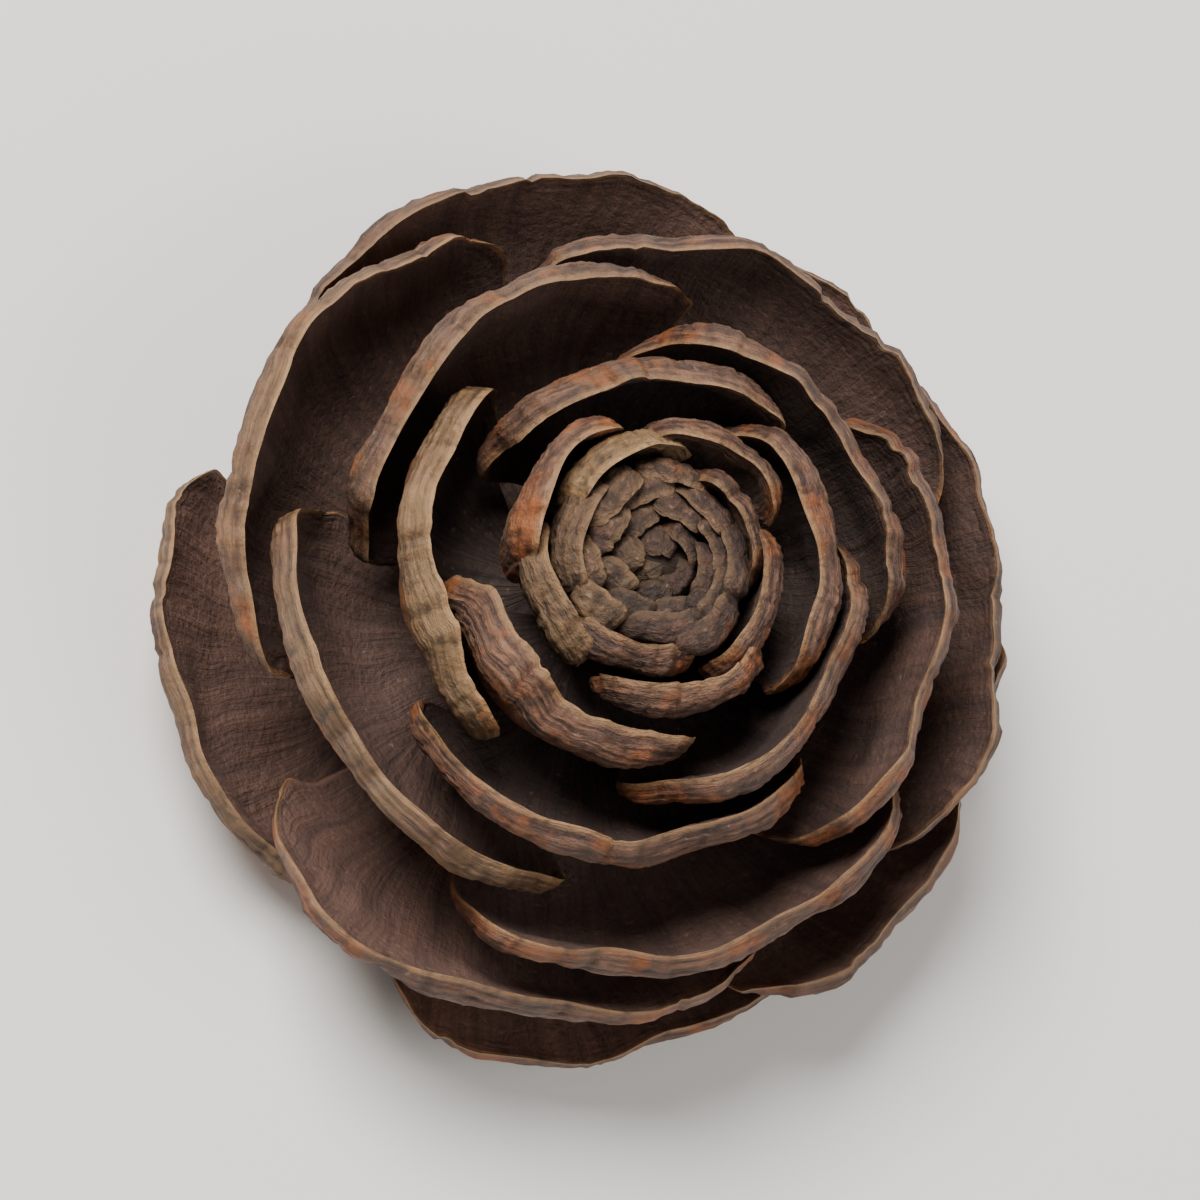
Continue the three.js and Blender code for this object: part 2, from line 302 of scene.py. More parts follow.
ends = {"Start": given["Claw"], "End": given["Rim"]}
handles = {"Start Handle": given["Shoulder"], "End Handle": given["Belly"]}
segment = {"Resolution": 64, **ends, **handles}
line = put(tree, "GeometryNodeCurvePrimitiveBezierSegment", segment, mode="POSITION")
line_length = put(tree, "GeometryNodeCurveLength", [line])
drop = put(tree, MATH, [sideways, CORNER_POWER], operation="POWER")
drop = put(tree, MATH, [drop, CORNER_DROP], operation="MULTIPLY")
long_wave = put(tree, MATH, [across, LONG_WAVE, given["Wave phase"]], operation="MULTIPLY_ADD")
long_wave = put(tree, MATH, [long_wave], operation="SINE")
short_wave = put(tree, MATH, [across, -SHORT_WAVE, given["Wave phase"]], operation="MULTIPLY_ADD")
short_wave = put(tree, MATH, [short_wave], operation="SINE")
waves = put(tree, MATH, [short_wave, -SHORT_SHARE, long_wave], operation="MULTIPLY_ADD")
waves = put(tree, MATH, [waves, 1 + SHORT_SHARE], operation="ADD")
loss = put(tree, MATH, [waves, RIM_WAVE, drop], operation="MULTIPLY_ADD")
print("waves take up to", round(2 * RIM_WAVE * (1 + SHORT_SHARE), 2), "of the length")

# %% Frayed and chipped parts of the rim, and how far along its line each point runs
FRAY_SIZE, FRAY_MIDDLE = 3 * MM, 0.45
CHIP_SIZE, CHIP_DEPTH = 1.5 * MM, 0.35 * MM
CHIPPED = (0.6, 0.68)  # values of the noise at which a chip begins and is full
MOST_LOSS = 0.5

reach = put(tree, SPLIT, [given["Rim"]])
half_width = put(tree, MATH, [reach, given["Half angle"]], operation="MULTIPLY")
rim_line = put(tree, MATH, [across, half_width], operation="MULTIPLY")
fray_at = put(tree, COMBINE, [rim_line, given["Seed"], 0.0])
fray = put(tree, NOISE, {"Vector": fray_at, "Scale": 1 / FRAY_SIZE, "Detail": 3.0, "Roughness": 0.55})
fray = put(tree, MATH, [fray, FRAY_MIDDLE], operation="SUBTRACT")
loss = put(tree, MATH, [fray, given["Ragged"], loss], operation="MULTIPLY_ADD")
rim_at = put(tree, COMBINE, [rim_line, 0.0, given["Seed"]])
chip = put(tree, NOISE, {"Vector": rim_at, "Scale": 1 / CHIP_SIZE, "Detail": 1.0})
chip = put(tree, RANGE, [chip, *CHIPPED, 0.0, CHIP_DEPTH])
chip = put(tree, MATH, [chip, line_length], operation="DIVIDE")
loss = put(tree, MATH, [loss, chip], operation="ADD")
loss = put(tree, "ShaderNodeClamp", [loss, 0.0, MOST_LOSS])
left = put(tree, MATH, [1.0, loss], operation="SUBTRACT")
run = put(tree, MATH, [along, left], operation="MULTIPLY")
print("nodes for the rim:", len(tree.nodes))

# %% [markdown]
# Sample Curve reads the line by share of its length. The claw widens to the blade in the first part of the
# run, and the side edges are a little uneven. The edge that leads the spiral tucks in behind its neighbour.

# %% How far round the axis a point turns
FAN_RUN = 0.6  # share of the run in which the claw widens to the blade
CLAW_HALF_ANGLE = math.radians(25)
SIDE_FRAY, SIDE_POWER = (-0.08, 0.04), 3.0  # share of the half angle, felt only near the side
FRAYS_ALONG, SIDES_APART = 4.0, 3.7  # in cells of the noise

spot = put(tree, "GeometryNodeSampleCurve", {"Curves": line, "Factor": run}, out="Position", mode="FACTOR")
spot = put(tree, SPLIT, [spot])
fan = put(tree, RANGE, [run, 0.0, FAN_RUN, 0.0, math.pi / 2])
fan = put(tree, MATH, [fan], operation="SINE")
half_angle = put(tree, MIX, [fan, None, CLAW_HALF_ANGLE, given["Half angle"]])
side = put(tree, MATH, [across], operation="SIGN")
side_row = put(tree, MATH, [side, SIDES_APART, given["Seed"]], operation="MULTIPLY_ADD")
side_run = put(tree, MATH, [run, FRAYS_ALONG], operation="MULTIPLY")
side_at = put(tree, COMBINE, [side_run, side_row])
side_fray = put(tree, NOISE, {"Vector": side_at, "Scale": 1.0, "Detail": 2.0})
side_fray = put(tree, RANGE, [side_fray, *NOISE_SPAN, *SIDE_FRAY])
outermost = put(tree, MATH, [sideways, SIDE_POWER], operation="POWER")
side_fray = put(tree, MATH, [side_fray, outermost, 1.0], operation="MULTIPLY_ADD")
half_angle = put(tree, MATH, [half_angle, side_fray], operation="MULTIPLY")
turn = put(tree, MATH, [across, half_angle, given["Azimuth"]], operation="MULTIPLY_ADD")
print("nodes for the turn:", len(tree.nodes))

# %% How far out and how high it stands
SPIRAL_SLANT, EDGE_TUCK = 0.045, 0.03  # shares of the radius by which edges tuck in
TUCK_POWER, CURL_POWER = 4.0, 5.0

tucked = put(tree, MATH, [across, TUCK_POWER], operation="POWER")
tucked = put(tree, MATH, [tucked, EDGE_TUCK], operation="MULTIPLY")
tucked = put(tree, MATH, [across, SPIRAL_SLANT, tucked], operation="MULTIPLY_ADD")
tucked = put(tree, MATH, [tucked, run], operation="MULTIPLY")
tucked = put(tree, MATH, [1.0, tucked], operation="SUBTRACT")
curl = put(tree, MATH, [across, CURL_POWER], operation="POWER")
curl = put(tree, MATH, [curl, run], operation="MULTIPLY")
curl = put(tree, MATH, [curl, given["Curl"]], operation="MULTIPLY")
radius = put(tree, MATH, [spot, tucked, curl], operation="MULTIPLY_ADD")
squared = put(tree, MATH, [across, across], operation="MULTIPLY")
squared = put(tree, MATH, [squared, run], operation="MULTIPLY")
lift = put(tree, MATH, [squared, given["Camber"], given["Lowered"]], operation="MULTIPLY_ADD")
height = put(tree, MATH, [spot.node.outputs["Z"], lift], operation="ADD")
print("nodes for the place:", len(tree.nodes))

# %% [markdown]
# Last, the whole space is warped by a slow noise, as wood warps when it dries. Neighbours are warped alike,
# so they still do not touch.

# %% Bend the grid round the axis
WARP_SIZE, WARP = 6 * MM, (1.7 * MM, 1.7 * MM, 0.5 * MM)

flat_spot = put(tree, COMBINE, [radius, 0.0, height])
turned = put(tree, "ShaderNodeVectorRotate", {"Vector": flat_spot, "Angle": turn}, rotation_type="Z_AXIS")
standing = put(tree, VECTOR, [turned, given["Axis"]], operation="ADD")
warp = put(tree, NOISE, {"Vector": standing, "Scale": 1 / WARP_SIZE, "Detail": 1.0}, out="Color")
warp = put(tree, VECTOR, [warp, (0.5, 0.5, 0.5)], operation="SUBTRACT")
warp = put(tree, VECTOR, [warp, WARP], operation="MULTIPLY")
blade = put(tree, MOVE, {"Geometry": sheet, "Position": standing, "Offset": warp})
print("nodes for the bent grid:", len(tree.nodes))

# %% [markdown]
# A blade has an upper and a lower face that meet in a thin edge. The edge is not round: the upper face runs
# on almost to the rim, and the lower face slopes up to it, like a chisel. Two copies of the bent grid are
# pushed apart, and close to any edge the push goes down to nothing, so the copies meet there and can be
# merged into one closed skin. Solidify would give a square edge instead.

# %% How thick the blade is
SWELL_FROM = 0.5  # share of the length from which the blade swells towards its rim
UNEVEN_SIZE, UNEVEN = 5 * MM, (0.75, 1.15)
SIDE_THINNED, THIN_POWER = 0.45, 7.0  # share by which the blade is thinner at its sides

claw_part = put(tree, RANGE, [along, 0.0, SWELL_FROM, given["Claw thickness"], given["Blade thickness"]])
rim_part = put(tree, RANGE, [along, SWELL_FROM, 1.0, 0.0, 1.0])
rim_part = put(tree, MATH, [rim_part, 2.0], operation="POWER")
swell = put(tree, MATH, [given["Rim thickness"], given["Blade thickness"]], operation="SUBTRACT")
thickness = put(tree, MATH, [rim_part, swell, claw_part], operation="MULTIPLY_ADD")
uneven = put(tree, NOISE, {"Vector": rim_at, "Scale": 1 / UNEVEN_SIZE, "Detail": 1.0})
uneven = put(tree, RANGE, [uneven, *NOISE_SPAN, *UNEVEN])
thinned = put(tree, MATH, [sideways, THIN_POWER], operation="POWER")
thinned = put(tree, MATH, [thinned, -SIDE_THINNED, uneven], operation="MULTIPLY_ADD")
thickness = put(tree, MATH, [thickness, thinned], operation="MULTIPLY")
print("nodes for the thickness:", len(tree.nodes))

# %% How far a point is from the rim, the sides and the claw
LEAN_POWER, LEAN = 9.0, 6.2  # at a corner the rim leans, so it is nearer than the column is long
CORNER_ROUND = 0.25
LAST_COLUMN = 0.999999  # a shade under 1, so that the last column is counted as the edge itself

to_rim = put(tree, MATH, [left, run], operation="SUBTRACT")
to_rim = put(tree, MATH, [to_rim, line_length], operation="MULTIPLY")
lean = put(tree, MATH, [sideways, LEAN_POWER], operation="POWER")
lean = put(tree, MATH, [lean, LEAN, 1.0], operation="MULTIPLY_ADD")
lean = put(tree, MATH, [lean], operation="INVERSE_SQRT")
to_rim = put(tree, MATH, [to_rim, lean], operation="MULTIPLY")
to_side = put(tree, RANGE, [sideways, LAST_COLUMN, 0.0, 0.0, 1.0])
to_side = put(tree, MATH, [to_side, half_angle], operation="MULTIPLY")
to_side = put(tree, MATH, [to_side, radius], operation="MULTIPLY")
to_claw = put(tree, MATH, [run, line_length], operation="MULTIPLY")
to_edge = put(tree, MATH, [to_rim, CORNER_ROUND, to_side], operation="MULTIPLY_ADD")
to_edge = put(tree, MATH, [to_rim, to_edge], operation="MINIMUM")
to_edge = put(tree, MATH, [to_edge, MM], operation="DIVIDE")
blade = put(tree, STORE, {"Geometry": blade, "Name": "from_rim", "Value": to_edge}, **NUMBER_ON_POINTS)
from_rim = put(tree, READ, ["from_rim"], data_type="FLOAT")
print("nodes for the distances:", len(tree.nodes))

# %% The chisel edge
CHISEL_RUN, NOSE_RUN, UPPER_FACE_AT = 1.7, 0.55, -0.38  # in thicknesses
CHISEL_POWER = 1.8

slope = put(tree, MATH, [thickness, CHISEL_RUN], operation="MULTIPLY")
bevel = put(tree, MATH, [to_rim, slope], operation="DIVIDE", use_clamp=True)
bevel = put(tree, MATH, [1.0, bevel], operation="SUBTRACT")
bevel = put(tree, MATH, [bevel, CHISEL_POWER], operation="POWER")
bevel = put(tree, MATH, [1.0, bevel], operation="SUBTRACT")
half = put(tree, MATH, [thickness, 0.5], operation="MULTIPLY")
half = put(tree, MATH, [half, bevel], operation="MULTIPLY")
middle = put(tree, MATH, [thickness, UPPER_FACE_AT, half], operation="MULTIPLY_ADD")
nose_run = put(tree, MATH, [thickness, NOSE_RUN], operation="MULTIPLY")
inset = put(tree, MATH, [to_side, to_claw], operation="MINIMUM")
inset = put(tree, MATH, [inset, nose_run], operation="DIVIDE", use_clamp=True)
nose = put(tree, MATH, [2.0, inset], operation="SUBTRACT")
nose = put(tree, MATH, [nose, inset], operation="MULTIPLY")
nose = put(tree, MATH, [nose], operation="SQRT")
half = put(tree, MATH, [half, nose], operation="MULTIPLY")
print("nodes for the edge:", len(tree.nodes))

# %% Two faces, merged into one closed skin
MERGE_WITHIN = 1e-7  # metres

facing = put(tree, "GeometryNodeInputNormal")
faces = []
for operation in ("ADD", "SUBTRACT"):
    push = put(tree, MATH, [middle, half], operation=operation)
    push = put(tree, VECTOR, {0: facing, "Scale": push}, operation="SCALE")
    faces.append(put(tree, MOVE, {"Geometry": blade, "Offset": push}))
lower_face, upper_face = faces
upper_face = put(tree, "GeometryNodeFlipFaces", [upper_face])
upper_face = put(tree, STORE, {"Geometry": upper_face, "Name": "upper", "Value": 1.0}, **NUMBER_ON_POINTS)
skin = put(tree, JOIN, [lower_face])
tree.links.new(upper_face, skin.node.inputs[0])
skin = put(tree, "GeometryNodeMergeByDistance", {"Geometry": skin, "Distance": MERGE_WITHIN})
print("nodes with the skin closed:", len(tree.nodes))

# %% [markdown]
# ## Relief
# A real scale is fibrous. On its upper face are two shallow beds where the winged seeds lay, with a low
# ridge between them. On its lower face the margin that was out in the weather is swollen, ringed with fine
# lines that follow the rim, pitted and cracked along the fibres. It could be left to a bump map, which is
# flat from the side. Here it is true relief, a few hundredths to two tenths of a millimetre deep, pushed out
# along the skin's own normal.

# %% Seed beds and fibres
BED_AT, BED_HALF = (0.42, 0.5), (0.33, 0.36)  # shares of the way to a side and of the length
BED_WALL = 0.6  # share of the bed inside which it is flat
BED_DEPTH, FIBRE_DEPTH = 0.16 * MM, 0.05 * MM
SIDE_WIDTH, BLADE_LENGTH = 13.5, 18.0  # mm, a large blade from its middle to a side and from claw to rim
FIBRE_WIDTH, FIBRE_LENGTH = 0.75, 10.0  # mm; real fibres are a tenth of a millimetre wide and would not show
FIBRES = (SIDE_WIDTH / FIBRE_WIDTH, BLADE_LENGTH / FIBRE_LENGTH, 1.0)

bed_across = put(tree, MATH, [sideways, BED_AT[0]], operation="SUBTRACT")
bed_across = put(tree, MATH, [bed_across, BED_HALF[0]], operation="DIVIDE")
bed_along = put(tree, MATH, [along, BED_AT[1]], operation="SUBTRACT")
bed_along = put(tree, MATH, [bed_along, BED_HALF[1]], operation="DIVIDE")
bed = put(tree, COMBINE, [bed_across, bed_along, 0.0])
bed = put(tree, VECTOR, [bed], out="Value", operation="LENGTH")
bed = put(tree, RANGE, [bed, BED_WALL, 1.0, -BED_DEPTH, 0.0], **SOFT_STEP)
bed = put(tree, MATH, [bed, upper], operation="MULTIPLY")
fibre_at = put(tree, COMBINE, [across, along, given["Seed"]])
fibre_at = put(tree, VECTOR, [fibre_at, FIBRES], operation="MULTIPLY")
fibre = put(tree, NOISE, {"Vector": fibre_at, "Scale": 1.0, "Detail": 5.0, "Roughness": 0.6})
fibres = put(tree, RANGE, [fibre, *NOISE_SPAN, -FIBRE_DEPTH, FIBRE_DEPTH])
print("fibres to a side:", FIBRES[0])

# %% How far the weathered margin reaches
LOW_MARGIN, TOP_MARGIN = (3.2, 2.3), (1.6, 0.5)  # mm from the rim, where it starts and where it is full
TOP_SHARE = 0.7
MARGIN_FRAY = 3.0

low_margin = put(tree, MATH, [fray, MARGIN_FRAY, from_rim], operation="MULTIPLY_ADD")
low_margin = put(tree, RANGE, [low_margin, *LOW_MARGIN, 0.0, 1.0], **SOFT_STEP)
low_margin = put(tree, MATH, [low_margin, lower], operation="MULTIPLY")
top_margin = put(tree, RANGE, [from_rim, *TOP_MARGIN, 0.0, TOP_SHARE], **SOFT_STEP)
margin = put(tree, MATH, [low_margin, top_margin], operation="MAXIMUM")
print("nodes for the margin:", len(tree.nodes))

# %% Nubs, rings, pits and cracks
NUB_SIZE, PIT_SIZE = 1.4 * MM, 0.42 * MM
NUB_SHARES = (0.4, 1.8)  # on the plain blade and on the margin
RING_STEP = 0.45  # mm; the growth lines are finer and would not show
RING_WOBBLE = (6.0, 11.0)  # radians, with the nubs and with the frayed rim
RING_DEPTH, PIT_DEPTH, CRACK_DEPTH = 0.03 * MM, 0.08 * MM, 0.07 * MM
PITTED, CRACK_WIDTH = (0.57, 0.72), 0.03  # in values of the noise
CRACK_STRETCH = (0.9, 1.2, 7.0)  # a little wider apart than the fibres, and out of step with them

skin_at = put(tree, "GeometryNodeInputPosition")
nub = put(tree, NOISE, {"Vector": skin_at, "Scale": 1 / NUB_SIZE, "Detail": 6.0, "Roughness": 0.66})
nub = put(tree, MATH, [nub, 0.5], operation="SUBTRACT")
nub_height = put(tree, RANGE, [margin, 0.0, 1.0, *NUB_SHARES])
nub_height = put(tree, MATH, [nub_height, given["Nubs"]], operation="MULTIPLY")
nubs = put(tree, MATH, [nub, nub_height], operation="MULTIPLY")
ring = put(tree, MATH, [from_rim, 2 * math.pi / RING_STEP], operation="MULTIPLY")
ring = put(tree, MATH, [nub, RING_WOBBLE[0], ring], operation="MULTIPLY_ADD")
ring = put(tree, MATH, [fray, RING_WOBBLE[1], ring], operation="MULTIPLY_ADD")
ring = put(tree, MATH, [ring], operation="SINE")
rings = put(tree, MATH, [ring, RING_DEPTH], operation="MULTIPLY")
pit = put(tree, NOISE, {"Vector": skin_at, "Scale": 1 / PIT_SIZE, "Detail": 2.0})
pits = put(tree, RANGE, [pit, *PITTED, 0.0, -PIT_DEPTH])
crack_at = put(tree, VECTOR, [fibre_at, CRACK_STRETCH], operation="MULTIPLY")
crack = put(tree, NOISE, {"Vector": crack_at, "Scale": 1.0, "Detail": 2.0})
crack = put(tree, MATH, [crack, 0.5], operation="SUBTRACT")
crack = put(tree, MATH, [crack], operation="ABSOLUTE")
cracks = put(tree, RANGE, [crack, 0.0, CRACK_WIDTH, -CRACK_DEPTH, 0.0])
weather = put(tree, MATH, [rings, pits], operation="ADD")
weather = put(tree, MATH, [weather, cracks], operation="ADD")
weather = put(tree, MATH, [weather, margin], operation="MULTIPLY")
print("nodes with the relief:", len(tree.nodes))

# %% [markdown]
# How deep a point lies in the fine relief is stored as well. Dirt and shade collect in pits and cracks, and
# the wood uses that number to darken them. The relief fades where the blade is thin, so that the two faces
# keep apart.

# %% Carve, and keep the hollows
HOLLOW_DEPTH, MARGIN_SWELL, CALM_BELOW = 0.14 * MM, 0.1 * MM, 0.35 * MM

fine = put(tree, MATH, [weather, nubs], operation="ADD")
fine = put(tree, MATH, [fine, fibres], operation="ADD")
hollow = put(tree, RANGE, [fine, -HOLLOW_DEPTH, 0.0, 1.0, 0.0])
skin = put(tree, STORE, {"Geometry": skin, "Name": "hollow", "Value": hollow}, **NUMBER_ON_POINTS)
swollen = put(tree, MATH, [low_margin, MARGIN_SWELL, bed], operation="MULTIPLY_ADD")
calm = put(tree, MATH, [half, CALM_BELOW], operation="DIVIDE", use_clamp=True)
calm = put(tree, MATH, [calm, inset], operation="MULTIPLY")
relief = put(tree, MATH, [fine, swollen], operation="ADD")
relief = put(tree, MATH, [relief, calm], operation="MULTIPLY")
outward = put(tree, "GeometryNodeInputNormal")
carved = put(tree, VECTOR, {0: outward, "Scale": relief}, operation="SCALE")
skin = put(tree, MOVE, {"Geometry": skin, "Offset": carved})
print("nodes with the skin carved:", len(tree.nodes))

# %% [markdown]
# The outermost scales lie on the table and are worn flat there, so nothing may go below it. Then the tree
# ends realised, smooth and with its material.

# %% Worn flat on the table, and the end of the tree
last = put(tree, SPLIT, [put(tree, "GeometryNodeInputPosition")])
worn = put(tree, MATH, [last.node.outputs["Z"], 0.0], operation="MAXIMUM")
worn = put(tree, COMBINE, [last, last.node.outputs["Y"], worn])
skin = put(tree, MOVE, {"Geometry": skin, "Position": worn})
skin = put(tree, "GeometryNodeRealizeInstances", [skin])
skin = put(tree, "GeometryNodeSetShadeSmooth", [skin])
skin = put(tree, "GeometryNodeSetMaterial", {"Geometry": skin, "Material": given["Wood"]})
tree.links.new(skin, tree.nodes.new("NodeGroupOutput").inputs[0])
print("nodes in the tree:", len(tree.nodes))

# %% [markdown]
# ## The wood
# Cedar cone scales are bare wood: no bark, no finish, a little resin. What the eye sees on the upper face is
# dark umber that was hidden from the light, with fibres that fan out from the claw. The margin was out in
# the weather and is grey tan, in some scales olive, rubbed orange at the ends, with a pale edge that is worn
# and partly a painted highlight, and dark pits, darkened by dirt and partly by painted shade. The lower face
# is smooth and orange tan. An image could be wrapped round each scale. Here colour follows the stored
# attributes, so it stays with the scale's own form whatever way the scale turns.


# %% Colours, from sRGB hex to linear
def colour(code):
    parts = [int(code[i : i + 2], 16) / 255 for i in (1, 3, 5)]
    return tuple(v / 12.92 if v <= 0.04045 else ((v + 0.055) / 1.055) ** 2.4 for v in parts) + (1.0,)


print("mid grey in linear light:", round(colour("#808080")[0], 3))

# %% What the wood knows about a point
ATTRIBUTES = ("across", "along", "upper", "tone", "tint", "shade", "from_rim", "hollow")
RING_PIECES, RING_SPACING = 3.5, 0.25  # pieces to a side, each about 4 mm long, and mm between two lines
RINGS = (RING_PIECES, 1 / RING_SPACING, 1.0)
MOTTLE_SIZE, GRIT_SIZE = 2.4 * MM, 0.4 * MM
FIBRE_SPAN, RING_SPAN = (0.32, 0.68), (0.38, 0.6)  # narrower than all values, for more contrast
SHIFT = 40.0  # so that two scales never share a piece of the pattern


def wood_patterns(t):
    """The stored attributes, and four noises: fibres, rings, mottle and grit."""
    read = {key: put(t, "ShaderNodeAttribute", out="Fac", attribute_name=key) for key in ATTRIBUTES}
    p = SimpleNamespace(**read)
    here = put(t, "ShaderNodeTexCoord", out="Object")
    shift = put(t, MATH, [p.tone, SHIFT], operation="MULTIPLY")
    fan_at = put(t, COMBINE, [p.across, p.along, shift])
    fan_at = put(t, VECTOR, [fan_at, FIBRES], operation="MULTIPLY")
    fibres = put(t, NOISE, {"Vector": fan_at, "Scale": 1.0, "Detail": 6.0, "Roughness": 0.66})
    p.fibres = put(t, RANGE, [fibres, *FIBRE_SPAN, 0.0, 1.0])
    ring_at = put(t, COMBINE, [p.across, p.from_rim, shift])
    ring_at = put(t, VECTOR, [ring_at, RINGS], operation="MULTIPLY")
    rings = put(t, NOISE, {"Vector": ring_at, "Scale": 1.0, "Detail": 5.0, "Roughness": 0.65})
    p.rings = put(t, RANGE, [rings, *RING_SPAN, 0.0, 1.0])
    p.mottle = put(t, NOISE, {"Vector": here, "Scale": 1 / MOTTLE_SIZE, "Detail": 5.0, "Roughness": 0.6})
    p.grit = put(t, NOISE, {"Vector": here, "Scale": 1 / GRIT_SIZE, "Detail": 4.0, "Roughness": 0.6})
    return p


# %% The weathered margin
FIRST, SECOND = 6, 7  # the two colour inputs of a Mix node
OF_COLOURS = {"out": 2, "data_type": "RGBA"}
RING_DARK, RING_LIGHT, OLIVE, ORANGE = (colour(code) for code in ("#3a2319", "#76513a", "#80653f", "#8a4a1c"))
OLIVE_SPAN, OLIVE_MOST = (1.0, 1.4), 0.6
RUBBED_SPAN, RUBBED_MOST = (0.5, 0.62), 0.8
END_POWER, END_RUBBED, TINT_RUBBED = 4.0, 0.1, -0.14


def margin_colour(t, p):
    """Grey tan in rings, olive in patches, and orange where it was rubbed, most of all at the ends."""
    grey = put(t, MIX, {"Factor": p.rings, FIRST: RING_DARK, SECOND: RING_LIGHT}, **OF_COLOURS)
    olive = put(t, MATH, [p.mottle, 1.2, p.tint], operation="MULTIPLY_ADD")
    olive = put(t, RANGE, [olive, *OLIVE_SPAN, 0.0, OLIVE_MOST])
    grey = put(t, MIX, {"Factor": olive, FIRST: grey, SECOND: OLIVE}, **OF_COLOURS)
    end = put(t, MATH, [p.across], operation="ABSOLUTE")
    end = put(t, MATH, [end, END_POWER], operation="POWER")
    rubbed = put(t, MATH, [end, END_RUBBED, p.mottle], operation="MULTIPLY_ADD")
    rubbed = put(t, MATH, [p.tint, TINT_RUBBED, rubbed], operation="MULTIPLY_ADD")
    rubbed = put(t, RANGE, [rubbed, *RUBBED_SPAN, 0.0, RUBBED_MOST])
    return put(t, MIX, {"Factor": rubbed, FIRST: grey, SECOND: ORANGE}, **OF_COLOURS)


# %% What wear and dirt do to it, with a painted highlight and painted shade
WORN_EDGE_AND_HIGHLIGHT, DIRT_AND_SHADE, DUST, DEEP_SHADE = (colour(code) for code in ("#a07a52", "#24140a", "#b09c84", "#20140e"))
WORN_EDGE_AND_HIGHLIGHT_RUN, WORN_EDGE_AND_HIGHLIGHT_MOST = (0.05, 0.3), 0.6  # mm from the rim
DIRT_AND_SHADE_SPAN, DIRT_AND_SHADE_MOST = (0.55, 1.05), 0.7
DUST_SPAN, DUST_MOST = (0.36, 0.28), 0.2


def wear_dirt_and_painted_light(t, p, mixed):
    """A pale edge, worn and partly a painted highlight, dirt and painted shade in the hollows, a little dust,
    and painted shade deep in the rose.
    """
    # A pale band along the rim: worn wood, and partly a painted highlight on the edge.
    worn = put(t, RANGE, [p.from_rim, *WORN_EDGE_AND_HIGHLIGHT_RUN, WORN_EDGE_AND_HIGHLIGHT_MOST, 0.0])
    mixed = put(t, MIX, {"Factor": worn, FIRST: mixed, SECOND: WORN_EDGE_AND_HIGHLIGHT}, **OF_COLOURS)
    # Darker in the hollows of the relief: dirt, and partly painted shade.
    dirt_and_shade = put(t, MATH, [p.hollow, 0.6, p.grit], operation="MULTIPLY_ADD")
    dirt_and_shade = put(t, RANGE, [dirt_and_shade, *DIRT_AND_SHADE_SPAN, 0.0, DIRT_AND_SHADE_MOST])
    mixed = put(t, MIX, {"Factor": dirt_and_shade, FIRST: mixed, SECOND: DIRT_AND_SHADE}, **OF_COLOURS)
    dust = put(t, RANGE, [p.grit, *DUST_SPAN, 0.0, DUST_MOST])
    mixed = put(t, MIX, {"Factor": dust, FIRST: mixed, SECOND: DUST}, **OF_COLOURS)
    # The stored shade: painted shade in the bud, darker in its heart, on the axis and deeper in its hole, and
    # a random darkening of the open scales.
    return put(t, MIX, {"Factor": p.shade, FIRST: mixed, SECOND: DEEP_SHADE}, **OF_COLOURS)


# %% Weathered cedar wood
MATT, SMOOTHED = 0.8, 0.55  # roughness of bare wood, between its fibres and on them
MARGIN_SPAN, MARGIN_RAGGED = (0.5, 1.3), 2.2  # shares of the margin's reach
BUMP_HEIGHT = 0.14 * MM


def cedar_wood(name, face, back, margins):
    """Bare wood: two fibre colours for a face and for a back, and mm of margin on the back and on the face."""
    wood = bpy.data.materials.new(name)
    wood.use_nodes = True
    t = wood.node_tree
    shader = t.nodes["Principled BSDF"].inputs
    p = wood_patterns(t)
    top = put(t, MIX, {"Factor": p.fibres, FIRST: colour(face[0]), SECOND: colour(face[1])}, **OF_COLOURS)
    under = put(t, MIX, {"Factor": p.fibres, FIRST: colour(back[0]), SECOND: colour(back[1])}, **OF_COLOURS)
    plain = put(t, MIX, {"Factor": p.upper, FIRST: under, SECOND: top}, **OF_COLOURS)
    reach = put(t, MIX, [p.upper, None, *margins])
    share = put(t, MATH, [p.from_rim, reach], operation="DIVIDE")
    ragged = put(t, MATH, [p.mottle, 0.5], operation="SUBTRACT")
    share = put(t, MATH, [ragged, MARGIN_RAGGED, share], operation="MULTIPLY_ADD")
    at_rim = put(t, RANGE, [share, *MARGIN_SPAN, 1.0, 0.0], **SOFT_STEP)
    mixed = put(t, MIX, {"Factor": at_rim, FIRST: plain, SECOND: margin_colour(t, p)}, **OF_COLOURS)
    t.links.new(wear_dirt_and_painted_light(t, p, mixed), shader["Base Color"])
    t.links.new(put(t, RANGE, [p.fibres, 0.0, 1.0, MATT, SMOOTHED]), shader["Roughness"])
    grain = put(t, MIX, [at_rim, None, p.fibres, p.rings])
    grain = put(t, MATH, [grain, 0.6, p.grit], operation="MULTIPLY_ADD")
    bump = put(t, "ShaderNodeBump", {"Strength": 1.0, "Distance": BUMP_HEIGHT, "Height": grain})
    t.links.new(bump, shader["Normal"])
    return wood


